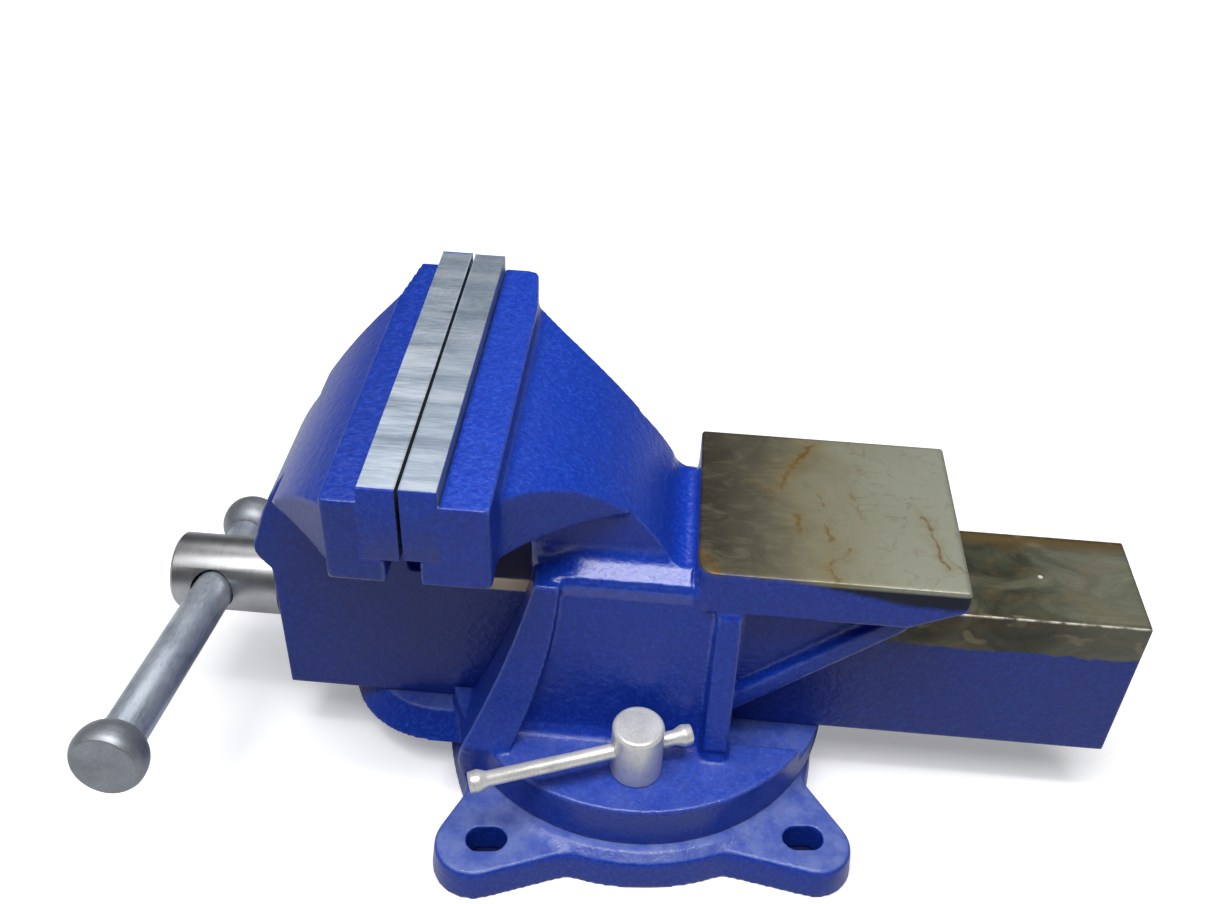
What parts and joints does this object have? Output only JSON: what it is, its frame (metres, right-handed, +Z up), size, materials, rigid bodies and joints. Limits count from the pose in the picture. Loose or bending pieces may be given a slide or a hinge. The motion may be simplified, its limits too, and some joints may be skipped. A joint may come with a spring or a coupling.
{
  "type": "bench vise",
  "caption": "Swivel-base bench vise with steel-faced jaws, a square slide, a lead screw with sliding bar handle, an anvil and two base lock bolts.",
  "frame": {"origin": "where the upright swivel axis meets the bench, at the centre of the rectangle of bench-bolt slots", "axes": "+Z up along the swivel axis, X along the slots and the short side of their rectangle, Y along its long side; the head is turned 6.2 degrees clockwise from X, seen from above, with its jaws towards -X"},
  "size_m": [0.4, 0.1928, 0.186],
  "materials": {
    "blue_enamel": "glossy blue enamel over a cast surface",
    "ground_steel": "ground across the jaws",
    "turned_steel": "bright turned",
    "dark_steel": "dull grey bar",
    "zinc_steel": "zinc plated",
    "black_steel": "black oxide",
    "grey_iron": "oiled cast iron"
  },
  "bodies": {
    "base": {"swivel_base": "blue_enamel", "pivot_pin": "turned_steel"},
    "head": {"fixed_jaw_body": "blue_enamel", "fixed_jaw_plate": "ground_steel", "fixed_plate_screws": "black_steel", "lead_nut": "grey_iron", "lead_nut_bolts": "black_steel", "lock_nut_near": "grey_iron", "lock_nut_far": "grey_iron"},
    "moving_jaw": {"moving_jaw": "blue_enamel", "moving_jaw_plate": "ground_steel", "moving_plate_screws": "black_steel", "thrust_washer": "turned_steel", "screw_spring": "black_steel"},
    "lead_screw": {"lead_screw": "turned_steel", "retaining_collar": "black_steel", "collar_pin": "black_steel"},
    "tommy_bar": {"tommy_bar": "dark_steel", "tommy_knob_near": "dark_steel", "tommy_knob_far": "dark_steel"},
    "lock_bolt_near": {"lock_bolt_near": "zinc_steel"},
    "lock_bolt_far": {"lock_bolt_far": "zinc_steel"},
    "lock_bar_near": {"lock_bar_near": "zinc_steel"},
    "lock_bar_far": {"lock_bar_far": "zinc_steel"}
  },
  "joints": [
    {"name": "head_swivel", "type": "hinge", "parent": "base", "child": "head", "pos_m": [0, 0, 0.0165], "axis": [0, 0, 1], "continuous": true},
    {"name": "jaw_slide", "type": "slide", "parent": "head", "child": "moving_jaw", "axis": [-0.9942, 0.108, 0], "range_m": [-0.0011, 0.149]},
    {"name": "screw_turn", "type": "hinge", "parent": "moving_jaw", "child": "lead_screw", "pos_m": [-0.16901, 0.01836, 0.0676], "axis": [-0.9942, 0.108, 0], "range_deg": [-79, 10725]},
    {"name": "tommy_slide", "type": "slide", "parent": "lead_screw", "child": "tommy_bar", "axis": [-0.1238, -0.9799, 0.1564], "range_m": [-0.0874, 0.0116]},
    {"name": "lock_near_turn", "type": "hinge", "parent": "head", "child": "lock_bolt_near", "pos_m": [-0.00421, -0.05909, 0.0506], "axis": [0, 0, 1], "range_deg": [-22, 1.5]},
    {"name": "lock_far_turn", "type": "hinge", "parent": "head", "child": "lock_bolt_far", "pos_m": [0.00858, 0.05862, 0.0506], "axis": [0, 0, 1], "range_deg": [-1.5, 22]},
    {"name": "lock_bar_near_slide", "type": "slide", "parent": "lock_bolt_near", "child": "lock_bar_near", "axis": [0.9655, 0.2605, 0], "range_m": [-0.0045, 0.0005]},
    {"name": "lock_bar_far_slide", "type": "slide", "parent": "lock_bolt_far", "child": "lock_bar_far", "axis": [0.887, -0.4617, 0], "range_m": [-0.0045, 0.0005]}
  ],
  "couplings": [
    {"joint": "jaw_slide", "follows": "screw_turn", "m_per_rad": 0.00079577}
  ]
}
